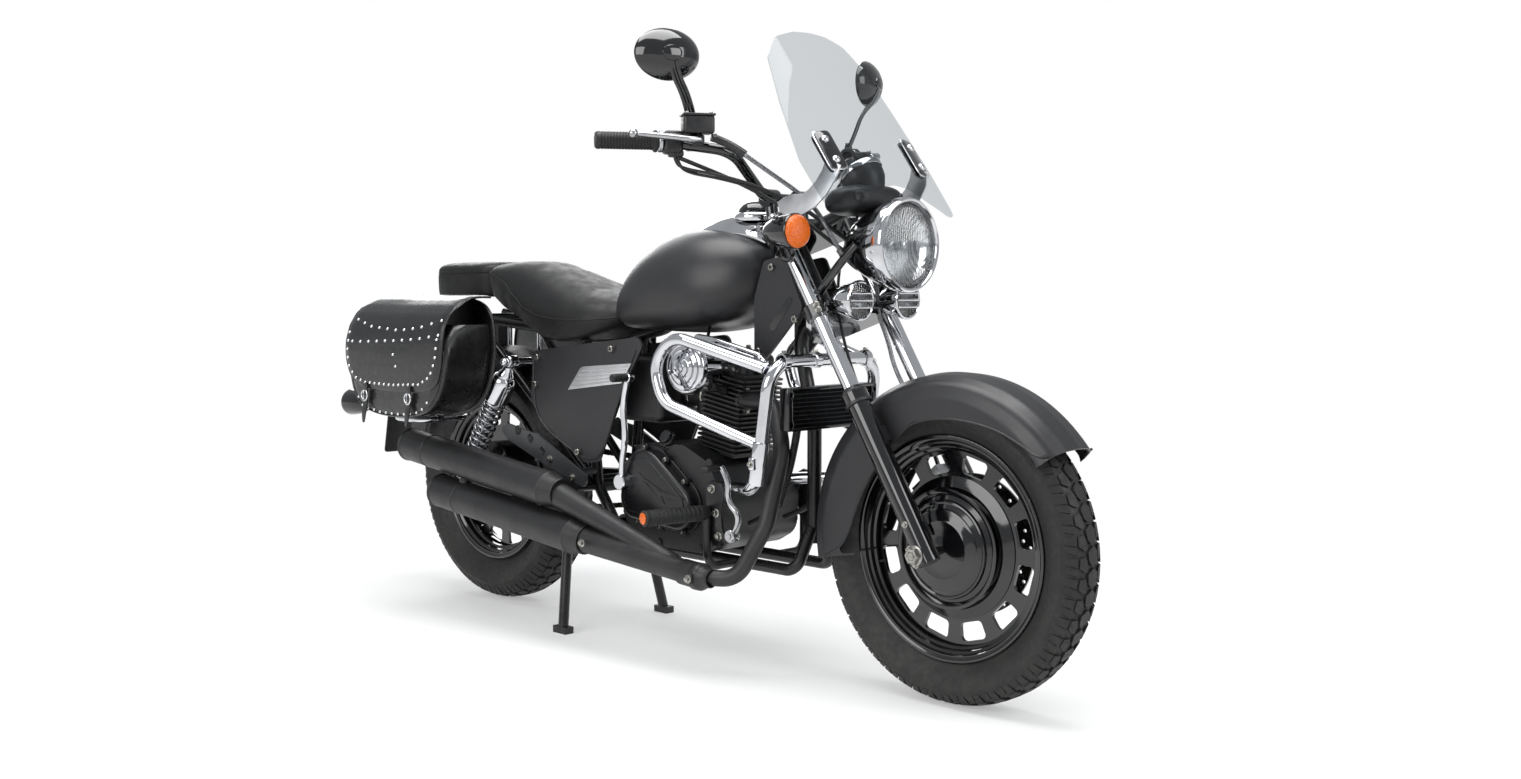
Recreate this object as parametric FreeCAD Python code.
import FreeCAD, Part
import math
import os

V = FreeCAD.Vector

# A single-cylinder cruiser motorcycle with leather saddlebags and a small touring screen,
# parked on its centre stand with the wheels straight.
# Millimetres. +X points forward, +Y to the rider's left, +Z up, and the ground is z = 0.
# The model is drawn with x = 0 at the rear axle, and moved at the end so that the origin
# is under the middle of the whole machine.

# Driving dimensions
wheelbase = 1440.0
stand_lift = 5.0
steering_trail = 110.0
steering_rake = 31.3
steering_limit = 34.0
front_tyre_radius = 302.0
front_tyre_half_width = 55.0
front_rim_radius = 219.0
front_rim_half_width = 33.0
rear_tyre_radius = 307.0
rear_tyre_half_width = 65.0
rear_rim_radius = 206.0
rear_rim_half_width = 44.0
fork_half_spacing = 107.0
frame_tube_radius = 15.0
sheet = 3.0
touch_gap = 0.3
running_gap = 0.05
moving_gap = 6.0
overrun = 2.0

front_axle = V(wheelbase, 0, front_tyre_radius)
rear_axle = V(0, 0, rear_tyre_radius + stand_lift)
rake_sin = math.sin(math.radians(steering_rake))
rake_cos = math.cos(math.radians(steering_rake))
steering_up = V(-rake_sin, 0, rake_cos)
steering_forward = V(rake_cos, 0, rake_sin)
steering_foot = V(wheelbase + steering_trail, 0, 0)


# Basic shapes
def box(low, high):
    size = high - low
    return Part.makeBox(size.x, size.y, size.z, low)


def rod(start, end, radius):
    return Part.makeCylinder(radius, (end - start).Length, start, end - start)


def sleeve(start, end, radius, bore):
    return rod(start, end, radius).cut(rod(start, end, bore))


def taper(start, end, start_radius, end_radius):
    return Part.makeCone(start_radius, end_radius, (end - start).Length, start, end - start)


def fuse(shapes):
    return shapes[0].multiFuse(shapes[1:]).removeSplitter()


def mirrored(shape):
    return shape.mirror(V(0, 0, 0), V(0, 1, 0))


def pair(shape):
    return Part.makeCompound([shape, mirrored(shape)])


def unit(vector):
    return V(vector).normalize()


def rounded_edges(points, bend, closed):
    """Straight runs joined by tangent arcs of radius bend, or as large as the runs allow."""
    count = len(points)
    entry = list(points)
    leave = list(points)
    arcs = {}
    for i in range(count) if closed else range(1, count - 1):
        before = points[i] - points[i - 1]
        after = points[(i + 1) % count] - points[i]
        into = unit(before)
        out = unit(after)
        turn = into.getAngle(out)
        if bend == 0 or turn < math.radians(1):
            continue
        reach = min(bend * math.tan(turn / 2), min(before.Length, after.Length) * 0.45)
        radius = reach / math.tan(turn / 2)
        inward = unit(out - into)
        centre = points[i] + inward * (radius / math.cos(turn / 2))
        entry[i] = points[i] - into * reach
        leave[i] = points[i] + out * reach
        arcs[i] = Part.Arc(entry[i], centre - inward * radius, leave[i]).toShape()
    edges = []
    for i in range(count):
        if i in arcs:
            edges.append(arcs[i])
        if closed or i + 1 < count:
            edges.append(Part.makeLine(leave[i], entry[(i + 1) % count]))
    return edges


def tube(points, radius, bend):
    """A round bar along points, bent at each of them."""
    path = Part.Wire(rounded_edges(points, bend, False))
    start = Part.Wire(Part.makeCircle(radius, points[0], points[1] - points[0]))
    return path.makePipeShell([start], True, False)


def panel(points, bend, depth):
    """A flat outline with rounded corners, pushed along the vector depth."""
    face = Part.Face(Part.Wire(rounded_edges(points, bend, True)))
    return face.extrude(depth)


def side_panel(outline, bend, y, thickness):
    """An outline of (x, z) standing lengthwise, from y to y plus thickness."""
    return panel([V(x, y, z) for x, z in outline], bend, V(0, thickness, 0))


def shared(low, size, shares):
    """Points of (x, z) from shares of a low corner's length and height."""
    return [(low[0] + size[0] * across, low[1] + size[1] * up) for across, up in shares]


def turned(centre, profile, bend):
    """A closed outline of (radius, y) turned about the crosswise line through centre."""
    points = [V(radius, y, 0) for radius, y in profile]
    face = Part.Face(Part.Wire(rounded_edges(points, bend, True)))
    solid = face.revolve(V(0, 0, 0), V(0, 1, 0), 360)
    solid.translate(centre)
    return solid


def smooth_loop(points):
    curve = Part.BSplineCurve()
    curve.interpolate(points, PeriodicFlag=True)
    return Part.Wire(curve.toShape())


def body_section(x, low, high, half, shares):
    """A closed smooth section across the machine at x, from shares of its half width and height."""
    side = [V(x, half * across, low + (high - low) * up) for across, up in shares]
    other = [V(p.x, -p.y, p.z) for p in reversed(side) if abs(p.y) > 0]
    return smooth_loop(side + other)


def lofted(sections):
    return Part.makeLoft(sections, True, False)


def crosswise(point, y):
    return V(point.x, y, point.z)


# Wheels
window_count = 12
tyre_bead_depth = 15.0
rim_wall = 6.0
disc_half_wall = 4.0
window_inner = 146.0
window_radial_length = 36.0
rear_window_inner = 138.0
window_half_angle = 9.6
window_corner = 9.0
axle_radius = 8.5
front_hub_radius = 104.0
front_hub_dome_radius = 80.0
front_hub_half_width = 44.0
rear_hub_radius = 96.0
rear_hub_dome_radius = 70.0
rear_hub_half_width = 62.0
hub_shoulder = 14.0
rotor_radius = 138.0
rotor_inner_radius = 84.0
rotor_y = 56.0
rotor_thickness = 4.5
rotor_carrier_radius = 92.0
sprocket_radius = 88.0
sprocket_y = 74.0
sprocket_thickness = 7.0

# (share of the height above the rim, share of the half width)
tyre_outline_shares = [(0.0, 0.54), (0.16, 0.72), (0.38, 0.96), (0.58, 1.0), (0.80, 0.86), (0.94, 0.56),
                       (1.0, 0.2)]


def tyre(centre, radius, half, rim_radius, rim_half):
    """A solid ring that sits between the rim's flanges and swells over them."""
    seat = rim_radius - tyre_bead_depth
    bead = rim_half - rim_wall
    height = radius - rim_radius
    near = [(seat, -bead), (rim_radius + touch_gap, -bead)]
    near += [(rim_radius + touch_gap + (height - touch_gap) * up, -half * out)
             for up, out in tyre_outline_shares]
    far = [(r, -y) for r, y in reversed(near)]
    return turned(centre, near + far, rim_half)


def wheel(centre, rim_radius, rim_half, hub_radius, hub_half, dome, window_low):
    """A rim, a pressed disc with rounded windows, and a hub."""
    seat = rim_radius - tyre_bead_depth
    inner = seat - rim_wall
    lip = rim_half - rim_wall
    outline = [
        (rim_radius, -rim_half), (rim_radius, -lip), (seat, -lip), (seat, lip), (rim_radius, lip),
        (rim_radius, rim_half), (rim_radius - rim_wall, rim_half), (inner, lip - rim_wall),
        (inner, rim_wall - lip), (rim_radius - rim_wall, -rim_half)]
    rim = turned(centre, outline, overrun)
    disc = turned(centre, [
        (inner + overrun, -disc_half_wall), (inner + overrun, disc_half_wall),
        (hub_radius - overrun, disc_half_wall), (hub_radius - overrun, -disc_half_wall)], 0)
    windows = []
    for i in range(window_count):
        middle = 360.0 / window_count * (i + 0.5)
        corners = []
        window_high = window_low + window_radial_length
        for radius, side in ((window_low, -1), (window_low, 1), (window_high, 1), (window_high, -1)):
            angle = math.radians(middle + side * window_half_angle)
            corners.append(centre + V(radius * math.cos(angle), -rim_half, radius * math.sin(angle)))
        windows.append(panel(corners, window_corner, V(0, 2 * rim_half, 0)))
    disc = disc.cut(Part.makeCompound(windows))
    hub = turned(centre, [
        (axle_radius + running_gap, -hub_half), (dome, -hub_half), (hub_radius, hub_shoulder - hub_half),
        (hub_radius, hub_half - hub_shoulder), (dome, hub_half), (axle_radius + running_gap, hub_half)], 0)
    return fuse([rim, disc, hub])


def washer(centre, y, thickness, radius, bore):
    return sleeve(crosswise(centre, y), crosswise(centre, y + thickness), radius, bore)


def brake_rotor():
    rotor = washer(front_axle, rotor_y, rotor_thickness, rotor_radius, rotor_inner_radius)
    carrier_depth = rotor_y + rotor_thickness - front_hub_half_width
    carrier = washer(front_axle, front_hub_half_width, carrier_depth, rotor_carrier_radius,
                     rotor_inner_radius)
    seat_depth = rotor_y - front_hub_half_width
    seat = washer(front_axle, front_hub_half_width, seat_depth, rotor_carrier_radius,
                  front_hub_dome_radius / 2)
    return fuse([rotor, carrier, seat])


def rear_sprocket():
    plate = washer(rear_axle, sprocket_y, sprocket_thickness, sprocket_radius, rear_hub_dome_radius / 2)
    seat_depth = sprocket_y - rear_hub_half_width
    seat = washer(rear_axle, rear_hub_half_width, seat_depth, rear_hub_dome_radius, rear_hub_dome_radius / 2)
    return fuse([plate, seat])


# Fork, steering stem and what turns with it
leg_lead = 8.0
stanchion_radius = 16.5
slider_radius = 22.5
slider_height = 338.0
slider_cap_height = 24.0
slider_cap_radius = 26.0
slider_foot_drop = 22.0
lower_clamp_height = 522.0
upper_clamp_height = 722.0
clamp_depth = 26.0
clamp_eye_radius = 27.0
clamp_bridge_half = 34.0
stem_radius = 15.0
head_tube_radius = 26.0
head_clearance = 1.0
fork_cap_height = 12.0
fork_cap_radius = 15.0
axle_nut_radius = 14.0
axle_nut_length = 10.0
axle_washer_radius = 19.0
axle_washer_depth = 2.0


def on_leg(distance, y):
    """A point on a fork leg's centre line, a distance up the leg from the axle's height."""
    return crosswise(front_axle + steering_forward * leg_lead + steering_up * distance, y)


def on_axis(distance):
    """The point of the steering axis that is level with a distance up the legs."""
    leg_point = on_leg(distance, 0)
    back = (leg_point - steering_foot).dot(steering_forward)
    return leg_point - steering_forward * back


def clamp(distance):
    """Two eyes round the legs, joined by a plate to the steering stem."""
    low = distance - clamp_depth / 2
    plate_points = [
        on_leg(low, -fork_half_spacing) + steering_forward * clamp_eye_radius / 2,
        on_leg(low, fork_half_spacing) + steering_forward * clamp_eye_radius / 2,
        on_leg(low, fork_half_spacing) - steering_forward * clamp_eye_radius,
        crosswise(on_axis(low) - steering_forward * clamp_bridge_half, clamp_bridge_half),
        crosswise(on_axis(low) - steering_forward * clamp_bridge_half, -clamp_bridge_half),
        on_leg(low, -fork_half_spacing) - steering_forward * clamp_eye_radius]
    plate = panel(plate_points, clamp_eye_radius / 2, steering_up * clamp_depth)
    eyes = []
    for side in (-1, 1):
        y = side * fork_half_spacing
        eyes.append(rod(on_leg(low, y), on_leg(low + clamp_depth, y), clamp_eye_radius))
    body = fuse([plate] + eyes)
    for side in (-1, 1):
        y = side * fork_half_spacing
        body = body.cut(rod(on_leg(low - overrun, y), on_leg(low + clamp_depth + overrun, y),
                            stanchion_radius))
    return body


def fork_clamps():
    stem = rod(on_axis(lower_clamp_height), on_axis(upper_clamp_height), stem_radius)
    return fuse([clamp(lower_clamp_height), clamp(upper_clamp_height), stem])


def fork_stanchions():
    legs = []
    for side in (-1, 1):
        y = side * fork_half_spacing
        top = upper_clamp_height + clamp_depth / 2
        leg = rod(on_leg(slider_height, y), on_leg(top, y), stanchion_radius)
        cap = rod(on_leg(top, y), on_leg(top + fork_cap_height, y), fork_cap_radius)
        legs.append(fuse([leg, cap]))
    return Part.makeCompound(legs)


def fork_sliders():
    """The lower legs, with the lugs that hold the axle and the axle itself."""
    pieces = [rod(crosswise(front_axle, -fork_half_spacing), crosswise(front_axle, fork_half_spacing),
                  axle_radius)]
    for side in (-1, 1):
        y = side * fork_half_spacing
        pieces.append(rod(on_leg(-slider_foot_drop, y), on_leg(slider_height, y), slider_radius))
        cap_low = slider_height - slider_cap_height
        pieces.append(rod(on_leg(cap_low, y), on_leg(slider_height, y), slider_cap_radius))
        washer_face = side * (fork_half_spacing + slider_radius + axle_washer_depth)
        pieces.append(rod(crosswise(front_axle, y), crosswise(front_axle, washer_face), axle_washer_radius))
        pieces.append(rod(crosswise(front_axle, y),
                          crosswise(front_axle, washer_face + side * axle_nut_length),
                          axle_nut_radius))
    return fuse(pieces)


# Front fender
front_fender_centre_x = wheelbase + 8.0
front_fender_centre_z = front_tyre_radius + 6.0
front_fender_radius = 332.0
front_fender_half_width = 74.0
front_fender_side_radius = 205.0
front_fender_rear_angle = 190.0
front_fender_front_angle = 38.0
# (share of the half width, share of the depth from the crown)
fender_crown_shares = [(1.0, 1.0), (1.0, 0.35), (0.86, 0.14), (0.5, 0.03), (0.0, 0.0)]
# The side's lower edge as (angle, share of the outer radius)
front_fender_edge_shares = [
    (36.0, 0.86), (48.0, 0.85), (62.0, 0.81), (84.0, 0.76), (104.0, 0.74),
    (116.0, 0.68), (134.0, 0.64), (160.0, 0.63), (178.0, 0.66), (189.0, 0.78)]


def fender_shell(centre, radius, half, depth, start, stop):
    """A crowned sheet, bent round the wheel from one angle to another."""
    outer = [(half * across, radius - depth * down) for across, down in fender_crown_shares]
    inner_half = half - sheet
    inner_radius = radius - sheet
    inner = [(inner_half * across, inner_radius - (depth - sheet) * down)
             for across, down in fender_crown_shares]
    right = [(-y, r) for y, r in outer]
    left = [(y, r) for y, r in reversed(outer[:-1])]
    back = [(y, r) for y, r in inner]
    under = [(-y, r) for y, r in reversed(inner[:-1])]
    points = [V(r, y, 0) for y, r in right + left + back + under]
    face = Part.Face(Part.Wire(rounded_edges(points, half / 3, True)))
    shell = face.revolve(V(0, 0, 0), V(0, 1, 0), -(stop - start))
    shell.rotate(V(0, 0, 0), V(0, 1, 0), -start)
    shell.translate(centre)
    return shell


def lower_edge(centre, radius, half, edge_shares):
    """The wheel's centre and the points of the fender's lower edge, on its right side."""
    points = [V(centre.x, -half, centre.z)]
    for angle, share in edge_shares:
        reach = radius * share
        points.append(V(centre.x + reach * math.cos(math.radians(angle)), -half,
                        centre.z + reach * math.sin(math.radians(angle))))
    return points


fender_stay_half_width = 16.0
fender_stay_height = 245.0


def front_fender():
    centre = V(front_fender_centre_x, 0, front_fender_centre_z)
    shell = fender_shell(centre, front_fender_radius, front_fender_half_width,
                         front_fender_radius - front_fender_side_radius,
                         front_fender_front_angle, front_fender_rear_angle)
    points = lower_edge(centre, front_fender_radius, front_fender_half_width + overrun,
                        front_fender_edge_shares)
    cutter = panel(points, front_fender_half_width / 2, V(0, 2 * (front_fender_half_width + overrun), 0))
    shell = shell.cut(cutter)
    stays = []
    for side in (-1, 1):
        inner = front_fender_half_width - sheet / 2
        outer = fork_half_spacing - slider_radius
        low = on_leg(fender_stay_height - fender_stay_half_width, side * inner)
        high = on_leg(fender_stay_height + fender_stay_half_width, side * inner)
        across = V(0, side * (outer - inner), 0)
        thickness = steering_forward * slider_radius / 2
        stays.append(panel([low, high, high + across, low + across], sheet, thickness))
    return fuse([shell] + stays)


# Handlebar and its controls
bar_radius = 11.0
bar_bend = 70.0
bar_setback = 16.4
bar_rise = 87.7
bar_middle_half = 62.0
bar_knee_ahead = 24.0
bar_knee_rise = 87.0
bar_knee_half = 182.0
bar_grip_setback = 65.0
bar_grip_start_half = 290.0
bar_end_setback = 136.0
bar_end_half = 400.0
bar_end_rise = 105.0
grip_radius = 16.5
grip_length = 122.0
riser_radius = 13.0
riser_half_spacing = 46.0
riser_cap_radius = 19.0
riser_cap_half = 15.0

bar_seat = on_axis(upper_clamp_height + clamp_depth / 2)
bar_middle = bar_seat + V(-bar_setback, 0, bar_rise)
bar_knee = bar_middle + V(bar_knee_ahead, bar_knee_half, bar_knee_rise)
bar_grip_start = bar_middle + V(-bar_grip_setback, bar_grip_start_half, bar_end_rise)
bar_end = bar_middle + V(-bar_end_setback, bar_end_half, bar_end_rise)
bar_back = unit(bar_end - bar_grip_start)
bar_forward = unit(bar_back.cross(V(0, 0, 1)))


def handlebar():
    half = [bar_middle, crosswise(bar_middle, bar_middle_half), bar_knee, bar_grip_start, bar_end]
    left = tube(half, bar_radius, bar_bend)
    risers = []
    for side in (-1, 1):
        y = side * riser_half_spacing
        risers.append(rod(crosswise(bar_seat, y), crosswise(bar_middle, y), riser_radius))
        risers.append(rod(crosswise(bar_middle, y - riser_cap_half),
                          crosswise(bar_middle, y + riser_cap_half),
                          riser_cap_radius))
    return fuse([left, mirrored(left)] + risers)


def grips():
    start = bar_end - bar_back * grip_length
    grip = sleeve(start, bar_end + bar_back * overrun, grip_radius, bar_radius)
    return pair(grip)


switch_length = 42.0
switch_radius = 22.0
switch_setback = 8.0
reservoir_length = 46.0
reservoir_width = 34.0
reservoir_height = 30.0
lever_length = 128.0
lever_radius = 6.0
lever_gap = 52.0
lever_rise = 10.0
lever_ball_radius = 9.5
perch_radius = 18.0
perch_length = 30.0


def controls():
    """Switch housings and the lever perches, with the fluid reservoir on the right."""
    start = bar_end - bar_back * (grip_length + switch_setback)
    switch = sleeve(start, start - bar_back * switch_length, switch_radius, bar_radius)
    perch_start = start - bar_back * (switch_length + switch_setback)
    perch = sleeve(perch_start, perch_start - bar_back * perch_length, perch_radius, bar_radius)
    perch_middle = perch_start - bar_back * (perch_length / 2)
    arm_end = perch_middle + bar_forward * lever_gap
    arm = rod(perch_middle + bar_forward * perch_radius * 0.8, arm_end, perch_radius / 2)
    left = [switch, fuse([perch, arm])]
    right = [mirrored(shape) for shape in left]
    corner = arm_end - V(reservoir_length / 2, reservoir_width / 2, 0)
    tank_box = box(corner, corner + V(reservoir_length, reservoir_width, reservoir_height))
    right[1] = fuse([right[1], mirrored(tank_box)])
    return Part.makeCompound(left + right)


def levers():
    start = bar_end - bar_back * (grip_length + 2 * switch_setback + switch_length + perch_length / 2)
    pivot = start + bar_forward * (lever_gap - perch_radius / 4)
    tip = pivot + bar_back * lever_length + V(0, 0, lever_rise)
    knuckle = pivot + bar_back * (lever_length / 3) + bar_forward * lever_radius
    blade = tube([pivot, knuckle, tip], lever_radius, lever_length)
    ball = Part.makeSphere(lever_ball_radius, tip)
    return pair(fuse([blade, ball]))


mirror_setback = 31.0
mirror_half = 305.0
mirror_rise = 270.0
mirror_width = 140.0
mirror_height = 97.0
mirror_depth = 26.0
mirror_stem_radius = 6.0


def mirrors():
    start = bar_end - bar_back * (grip_length + 2 * switch_setback + switch_length + perch_length / 2)
    foot = start + V(0, 0, perch_radius * 0.9)
    centre = bar_middle + V(-mirror_setback, mirror_half, mirror_rise)
    knee = foot + V(mirror_stem_radius * 4, 0, mirror_height / 2)
    back = centre + V(mirror_depth / 2, 0, -mirror_height / 4)
    stem = tube([foot, knee, back], mirror_stem_radius, mirror_height)
    shell = Part.makeSphere(mirror_width / 2, V(0, 0, 0), V(1, 0, 0), 0, 90, 360)
    stretch = FreeCAD.Matrix()
    stretch.scale(mirror_depth / (mirror_width / 2), 1, mirror_height / mirror_width)
    shell = shell.transformGeometry(stretch)
    shell.translate(centre)
    return pair(fuse([stem, shell]))


# Lamps
headlamp_radius = 92.0
headlamp_ahead = 198.3
headlamp_rise = 45.3
headlamp_rim_depth = 26.0
headlamp_shell_depth = 120.0
headlamp_neck_radius = 40.0
lens_bulge = 14.0
fog_lamp_ahead = 76.3
fog_lamp_half = 73.0
fog_lamp_rise = 22.8
fog_lamp_radius = 39.0
fog_lamp_depth = 62.0
fog_bar_radius = 8.0
signal_below_clamp = 74.3
signal_ahead = 79.7
signal_half = 190.0
signal_rise = 48.4
signal_radius = 34.0
signal_depth = 78.0
signal_lens_depth = 22.0
signal_stalk_radius = 9.0

headlamp_face = on_leg((lower_clamp_height + upper_clamp_height) / 2, 0) + V(headlamp_ahead, 0, headlamp_rise)
fog_lamp_face = on_leg(lower_clamp_height, 0) + V(fog_lamp_ahead, 0, fog_lamp_rise)
signal_face = on_leg(upper_clamp_height - signal_below_clamp, 0) + V(signal_ahead, signal_half, signal_rise)


def headlamp():
    """The chrome rim and the shell behind it, hollow for the lens."""
    face = headlamp_face
    back = face - V(headlamp_rim_depth, 0, 0)
    rim = sleeve(back, face, headlamp_radius, headlamp_radius - sheet * 3)
    shell = taper(back - V(headlamp_shell_depth, 0, 0), back, headlamp_neck_radius, headlamp_radius - sheet)
    ears = []
    for side in (-1, 1):
        y = side * (headlamp_radius - sheet * 3)
        leg_y = side * (fork_half_spacing - stanchion_radius)
        middle = V(face.x - headlamp_shell_depth / 2, y * 0.85, face.z)
        distance = (face - front_axle).dot(steering_up)
        leg = on_leg(distance, leg_y)
        ears.append(rod(middle, leg, signal_stalk_radius))
    return fuse([rim, shell] + ears)


def headlamp_lens():
    back = headlamp_face - V(headlamp_rim_depth, 0, 0)
    front = headlamp_face - V(lens_bulge / 2, 0, 0)
    return rod(back, front, headlamp_radius - sheet * 3 - touch_gap)


def fog_lamps():
    """Two small round lamps on a bar that the lower clamp carries."""
    pieces = []
    for side in (-1, 1):
        face = crosswise(fog_lamp_face, side * fog_lamp_half)
        back = face - V(fog_lamp_depth, 0, 0)
        pieces.append(taper(back, face, fog_lamp_radius * 0.6, fog_lamp_radius))
    bar_x = fog_lamp_face.x - fog_lamp_depth
    bar_z = fog_lamp_face.z - fog_lamp_radius * 0.3
    pieces.append(rod(V(bar_x, -fog_lamp_half, bar_z), V(bar_x, fog_lamp_half, bar_z), fog_bar_radius))
    seat = on_leg(lower_clamp_height, 0) + steering_forward * clamp_eye_radius / 3
    pieces.append(rod(V(bar_x, 0, bar_z), seat, fog_bar_radius))
    return fuse(pieces)


def front_signals():
    distance = (crosswise(signal_face, 0) - front_axle).dot(steering_up)
    leg = on_leg(distance, fork_half_spacing + stanchion_radius * 0.9)
    back = signal_face - V(signal_depth, 0, 0)
    bowl = taper(back, signal_face, signal_radius * 0.45, signal_radius)
    stalk = rod(leg, signal_face - V(signal_depth / 2, 0, 0), signal_stalk_radius)
    return pair(fuse([bowl, stalk]))


def front_signal_lenses():
    front = signal_face + V(signal_lens_depth, 0, 0)
    return pair(taper(signal_face, front, signal_radius - sheet, signal_radius * 0.6))


# Instruments and windscreen
pod_radius = 44.0
pod_depth = 60.0
pod_ahead = 136.0
pod_rise = 86.9
nacelle_half = 92.0
nacelle_ahead = 85.0
nacelle_length = 100.0
nacelle_rise = 21.9
nacelle_height = 50.0
screen_thickness = 4.0
screen_low_ahead = 209.3
screen_low_rise = 24.9
screen_top_setback = 35.7
screen_top_rise = 364.9
screen_half = 198.0
screen_bow = 35.0
# The right half's outline as (share of the half width, share of the height)
screen_outline_shares = [
    (0.0, 0.10), (0.2, 0.085), (0.45, 0.02), (0.75, -0.03), (0.93, -0.02), (0.985, 0.05),
    (1.0, 0.28), (0.88, 0.61), (0.74, 0.88), (0.53, 1.0), (0.25, 1.035), (0.0, 1.04)]

clamp_middle = on_leg(upper_clamp_height, 0)
nacelle_corner = clamp_middle + V(nacelle_ahead, -nacelle_half, nacelle_rise)
screen_low = clamp_middle + V(screen_low_ahead, 0, screen_low_rise)
screen_top = clamp_middle + V(-screen_top_setback, 0, screen_top_rise)
screen_up = unit(screen_top - screen_low)
screen_out = V(screen_up.z, 0, -screen_up.x)


def instruments():
    top = clamp_middle + V(pod_ahead, 0, pod_rise)
    tilt = unit(V(-pod_depth, 0, pod_depth * 1.4))
    pod = rod(top - tilt * pod_depth / 2, top + tilt * pod_depth / 2, pod_radius)
    body = box(nacelle_corner, nacelle_corner + V(nacelle_length, 2 * nacelle_half, nacelle_height))
    body = body.makeFillet(nacelle_height / 3, body.Edges)
    arm_end = nacelle_corner + V(nacelle_length / 3, nacelle_half, nacelle_height / 3)
    arm = rod(clamp_middle, arm_end, riser_radius)
    return fuse([pod, body, arm])


def windscreen():
    """A thin bowed sheet: a cylinder wall, leaned back and trimmed to the screen's outline."""
    length = (screen_top - screen_low).Length
    bow_radius = (screen_half * screen_half + screen_bow * screen_bow) / (2 * screen_bow)
    axis_low = screen_low + screen_out * (screen_bow - bow_radius) - screen_up * length * 0.2
    axis_high = axis_low + screen_up * length * 1.5
    wall = sleeve(axis_low, axis_high, bow_radius, bow_radius - screen_thickness)
    points = [screen_low + screen_up * (length * z) + V(0, screen_half * y, 0)
              for y, z in screen_outline_shares]
    points += [V(p.x, -p.y, p.z) for p in reversed(points[1:-1])]
    cutter = panel([p - screen_out * screen_thickness for p in points], screen_half / 6,
                   screen_out * (screen_bow + 2 * screen_thickness))
    return wall.common(cutter)


screen_plate_half = 130.0
screen_plate_ahead = 153.3
screen_plate_rise = 138.9
screen_plate_width = 26.0
screen_plate_height = 72.0
screen_plate_thickness = 18.0
strap_width = 18.0


def screen_brackets(screen):
    """Flat straps from the fork legs up to a clamp plate on each side of the screen."""
    leg = on_leg(upper_clamp_height - clamp_depth * 1.6, fork_half_spacing)
    centre = clamp_middle + V(screen_plate_ahead, screen_plate_half, screen_plate_rise)
    half_up = screen_up * screen_plate_height / 2
    half_across = V(0, screen_plate_width / 2, 0)
    start = centre - screen_out * screen_plate_thickness / 2
    corners = [start - half_up - half_across, start + half_up - half_across, start + half_up + half_across,
               start - half_up + half_across]
    plate = panel(corners, screen_plate_width / 4, screen_out * screen_plate_thickness)
    strap_points = [leg + V(0, stanchion_radius / 2, 0), leg + V(strap_width, strap_width * 2, 0),
                    start - half_up * 0.6]
    strap = tube(strap_points, strap_width / 3, screen_plate_height)
    clip = rod(leg - steering_up * strap_width, leg + steering_up * strap_width, stanchion_radius + sheet)
    return pair(fuse([plate, strap, clip]).cut(screen))


# Front brake
caliper_length = 78.0
caliper_height = 62.0
caliper_width = 40.0
caliper_angle = 132.0


def brake_caliper():
    """A block that straddles the rotor behind the left leg, on a plate that the leg carries."""
    reach = rotor_radius - touch_gap * 10
    middle_y = rotor_y + rotor_thickness / 2
    half = V(caliper_height / 2, caliper_width / 2, caliper_length / 2)
    body = box(V(reach, middle_y, 0) - half, V(reach, middle_y, 0) + half)
    body.rotate(V(0, 0, 0), V(0, 1, 0), -caliper_angle)
    body.translate(V(front_axle.x, 0, front_axle.z))
    angle = math.radians(caliper_angle)
    centre = V(front_axle.x + reach * math.cos(angle), 0, front_axle.z + reach * math.sin(angle))
    distance = (centre - front_axle).dot(steering_up)
    plate_low = middle_y + caliper_width / 2 - sheet
    plate_high = fork_half_spacing
    half_up = steering_up * caliper_height / 3
    near = crosswise(centre, plate_low)
    far = on_leg(distance, plate_low)
    plate = panel([near - half_up, near + half_up, far + half_up, far - half_up], sheet,
                  V(0, plate_high - plate_low, 0))
    slot_half = rotor_thickness / 2 + moving_gap / 4
    slot = sleeve(crosswise(front_axle, middle_y - slot_half), crosswise(front_axle, middle_y + slot_half),
                  rotor_radius + moving_gap, axle_radius)
    return fuse([body, plate]).cut(slot)


# Frame and engine
downtube_x = 1072.0
downtube_knee_x = 1026.0
downtube_knee_z = 700.0
downtube_low_z = 268.0
cradle_half = 56.0
cradle_z = 214.0
cradle_front_x = 1010.0
pivot_x = 440.0
pivot_z = 335.0
backbone_z = 690.0
seat_rail_half = 92.0
seat_rail_rear_x = -120.0
seat_rail_z = 700.0
seat_rail_rear_z = 735.0
tank_rail_drop = 60.0
backbone_radius = 21.0
slim_tube_radius = 12.75
brace_radius = 10.5
frame_bend = 90.0
fender_hanger_x = -20.0


def rail_height(x):
    """The height of the seat rails' centre line at x."""
    start = pivot_x - frame_bend
    return seat_rail_z + (seat_rail_rear_z - seat_rail_z) * (start - x) / (start - seat_rail_rear_x)


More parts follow.
